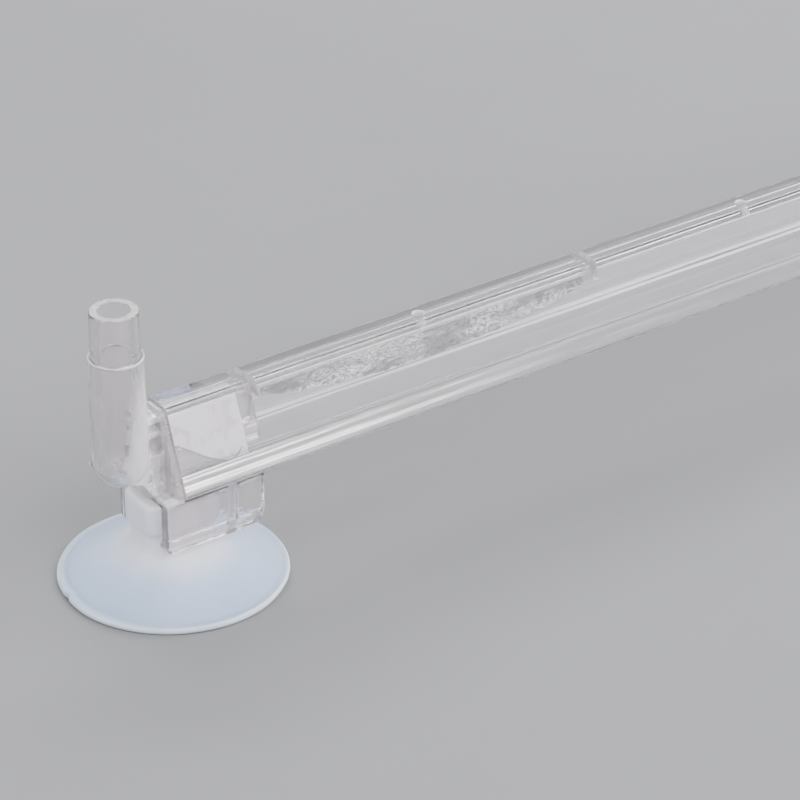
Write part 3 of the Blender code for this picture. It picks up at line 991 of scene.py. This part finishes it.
def make_cup(name, node, body, end):
    """One cup, lofted through its rings, with how far out each point lies kept as "reach"."""
    bm = bmesh.new()
    reach = bm.verts.layers.float.new("reach")
    rings = []
    for z, half_length, half_width, squareness in CUP_RINGS:
        ring = []
        flare = 0.0
        if z < FLARE_TOP:
            flare = min(max((half_length - FLARE_START) / FLARE_GROWTH, 0.0), 1.0)
        for k in range(ROUND):
            angle = math.tau * k / ROUND
            radius = cup_radius(angle, half_length, half_width, squareness)
            spot = Vector((math.cos(angle), math.sin(angle), 0.3))
            radius -= RIPPLE * flare * (noise.noise(spot * 2.2) + 0.5)
            turn = math.remainder(angle - NICK_ANGLE, math.tau)
            radius -= NICK_DEPTH * flare * math.exp(-((turn / NICK_SPREAD) ** 2))
            height = z + (WAVE * flare * noise.noise(spot * 3.1) if z > FLARE_FOOT else 0.0)
            vertex = bm.verts.new(
                (radius * math.cos(angle) * MM, radius * math.sin(angle) * MM, height * MM)
            )
            vertex[reach] = radius * MM / CUP_RADIUS
            ring.append(vertex)
        rings.append(ring)
    bridge(bm, rings)
    for ring, z in ((rings[0], CUP_RINGS[0][0]), (rings[-1], CUP_RINGS[-1][0])):
        pole = bm.verts.new((0, 0, z * MM))
        for k in range(ROUND):
            bm.faces.new((ring[k], ring[(k + 1) % ROUND], pole))
    bmesh.ops.translate(bm, verts=bm.verts, vec=(CUP_X, 0, 0))
    cup = mesh_object(name, bm)
    cup.data.materials.append(SILICONE)
    shade_smooth(cup)
    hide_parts(node)
    finish_end(cup, end, body)


# ---------------------------------------------------------------- inner strip


def strip_bulk(spot, v):
    """Thickness of the crinkled film in millimetres, thinning to its edges at v = 0 and 1."""
    crinkle = 0.5 + 0.5 * noise.noise(spot) + 0.35 * abs(noise.noise(spot * 2.7))
    crinkle += 0.3 * abs(noise.noise(spot * 5.3)) - 0.15
    return 0.06 + 0.33 * math.sin(math.pi * v) ** 0.5 * min(1.0, crinkle)


def strip_grid(is_face):
    """Points (x, y, z) of the strip's back, which lies along the tube's near wall, or of its
    crinkled face, in columns from the roof downwards."""
    wall = inset(section(), WALL + STRIP_GAP)
    top = Vector(wall[3])
    down = (Vector(wall[0]) - top).normalized()
    inward = Vector((-down.y, down.x))
    start, end = TUBE_START + STRIP_START, TUBE_START + STRIP_END
    grid = []
    for i in range(STRIP_COLUMNS + 1):
        t = i / STRIP_COLUMNS
        swell = math.sin(math.pi * min(max(t, 0.02), 0.985)) ** 0.55
        # Where the strip's upper edge lies and how deep the strip is here, in millimetres.
        head = 0.15 + 0.12 * noise.noise(Vector((t * 30, 2.0, 0)))
        depth = (0.5 + 2.5 * swell) * (1 + 0.1 * noise.noise(Vector((t * 46, 5.0, 0))))
        column = []
        for j in range(STRIP_ROWS + 1):
            v = j / STRIP_ROWS
            spot = Vector((t * 62, v * 2.6, 0.7))
            off = strip_bulk(spot, v) if is_face else 0.02 * noise.noise(spot * 2)
            place = top + down * ((0.1 + head + depth * v * 0.93) * MM)
            place += inward * max(off * MM, 0)
            column.append((start + (end - start) * t, place.x, place.y))
        grid.append(column)
    return grid


def make_strip():
    """The crinkled strip inside the first bay, wide at its middle and narrow at its ends."""
    bm = bmesh.new()
    back, face = (
        [[bm.verts.new(point) for point in column] for column in strip_grid(is_face)]
        for is_face in (False, True)
    )
    for grid in (back, face):
        for a, b in zip(grid, grid[1:]):
            for j in range(STRIP_ROWS):
                bm.faces.new((a[j], a[j + 1], b[j + 1], b[j]))
    for j in range(STRIP_ROWS):
        for i in (0, STRIP_COLUMNS):
            bm.faces.new((back[i][j], back[i][j + 1], face[i][j + 1], face[i][j]))
    for i in range(STRIP_COLUMNS):
        for j in (0, STRIP_ROWS):
            bm.faces.new((back[i][j], back[i + 1][j], face[i + 1][j], face[i][j]))
    strip = mesh_object("crinkled_strip", bm)
    strip.data.materials.append(CRINKLED)
    shade_smooth(strip)
    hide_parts("inner_strip")
    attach(strip, "bar")


# -------------------------------------------------------------- set and camera

# Angles are in degrees. Azimuth 0 looks along +Y at the front, and -90 from the inlet's end.
CAMERA_AZIMUTH = -35.54
CAMERA_ELEVATION = 30.04
CAMERA_DISTANCE = 385.2 * MM
CAMERA_TARGET = Vector((-71.45 * MM, 0, 11.18 * MM))
LENS, SENSOR = 157.5, 36.0  # focal length and sensor width in millimetres

# Soft boxes: name, azimuth, elevation, distance and size in metres, power in watts.
LIGHTS = [
    ("key", 14, 36, 0.62, (0.62, 0.36), 6.5),
    ("side", 32, 10, 0.70, (0.70, 0.18), 1.3),
    ("back", 146, 35, 0.75, (0.90, 0.035), 5.0),
    ("rim", 146, 11, 0.75, (0.90, 0.07), 1.6),
    ("left", -95, 30, 0.7, (0.40, 0.45), 4.2),
    ("right", 78, 16, 0.7, (0.30, 0.30), 5.5),
]
DOME_STRENGTH = 1.4
FLOOR_REACH = 3.0  # from its middle to its sides, in metres
FLOOR_GAP = 0.02 * MM  # below the cups, so that the two never coincide


def direction(azimuth, elevation):
    """The unit vector from the camera's target towards this angle."""
    a, e = math.radians(azimuth), math.radians(elevation)
    return Vector((math.sin(a) * math.cos(e), -math.cos(a) * math.cos(e), math.sin(e)))


def make_camera():
    data = bpy.data.cameras.new("camera")
    data.lens = LENS
    data.sensor_width = SENSOR
    data.clip_start = 0.01
    camera = link(bpy.data.objects.new("camera", data))
    back = direction(CAMERA_AZIMUTH, CAMERA_ELEVATION)
    camera.location = CAMERA_TARGET + back * CAMERA_DISTANCE
    camera.rotation_euler = back.to_track_quat("Z", "Y").to_euler()
    bpy.context.scene.camera = camera


def make_light(name, azimuth, elevation, distance, size, power):
    data = bpy.data.lights.new(name, "AREA")
    data.shape = "RECTANGLE"
    data.size, data.size_y = size
    data.energy = power
    light = link(bpy.data.objects.new(name, data))
    toward = direction(azimuth, elevation)
    light.location = CAMERA_TARGET + toward * distance
    light.rotation_euler = toward.to_track_quat("Z", "Y").to_euler()
    light.visible_camera = False


def make_dome():
    """A pale overhead dome that fades to dark towards the horizon."""
    world = bpy.data.worlds.new("studio")
    world.use_nodes = True
    tree = world.node_tree
    spot = tree.nodes.new("ShaderNodeTexCoord")
    split = tree.nodes.new("ShaderNodeSeparateXYZ")
    ramp = tree.nodes.new("ShaderNodeValToRGB")
    horizon, zenith = ramp.color_ramp.elements
    horizon.position, horizon.color = 0.3, (0.06, 0.06, 0.065, 1.0)
    zenith.position, zenith.color = 0.75, (0.94, 0.96, 1.0, 1.0)
    sky = tree.nodes["Background"]
    sky.inputs["Strength"].default_value = DOME_STRENGTH
    tree.links.new(spot.outputs["Generated"], split.inputs["Vector"])
    tree.links.new(split.outputs["Z"], ramp.inputs["Fac"])
    tree.links.new(ramp.outputs["Color"], sky.inputs["Color"])
    bpy.context.scene.world = world


def make_set():
    """The floor, the lights and the dome."""
    bm = bmesh.new()
    bmesh.ops.create_grid(bm, x_segments=2, y_segments=2, size=FLOOR_REACH)
    floor = mesh_object("floor", bm)
    floor.location.z = -FLOOR_GAP
    floor.data.materials.append(floor_material())
    for light in LIGHTS:
        make_light(*light)
    make_dome()


def main():
    make_camera()
    inlet = Matrix.Translation((TUBE_START, 0, 0))
    blank = Matrix.Translation((TUBE_END, 0, 0)) @ Matrix.Rotation(math.pi, 4, "Z")
    make_tube()
    make_strip()
    make_fitting("inlet_moulding", bracket_solids() + spigot_solids(), spigot_bores(), inlet)
    make_fitting("blank_moulding", bracket_solids(), [passage_cutter(2 * FLANGE)], blank)
    for word, end in (("inlet", inlet), ("blank", blank)):
        make_cement(word + "_near_cement", -1, end)
        make_cement(word + "_far_cement", 1, end)
        make_cup(word + "_cup", word + "_suction_cup", word + "_cup", end)
    make_flash(inlet)
    make_set()


main()
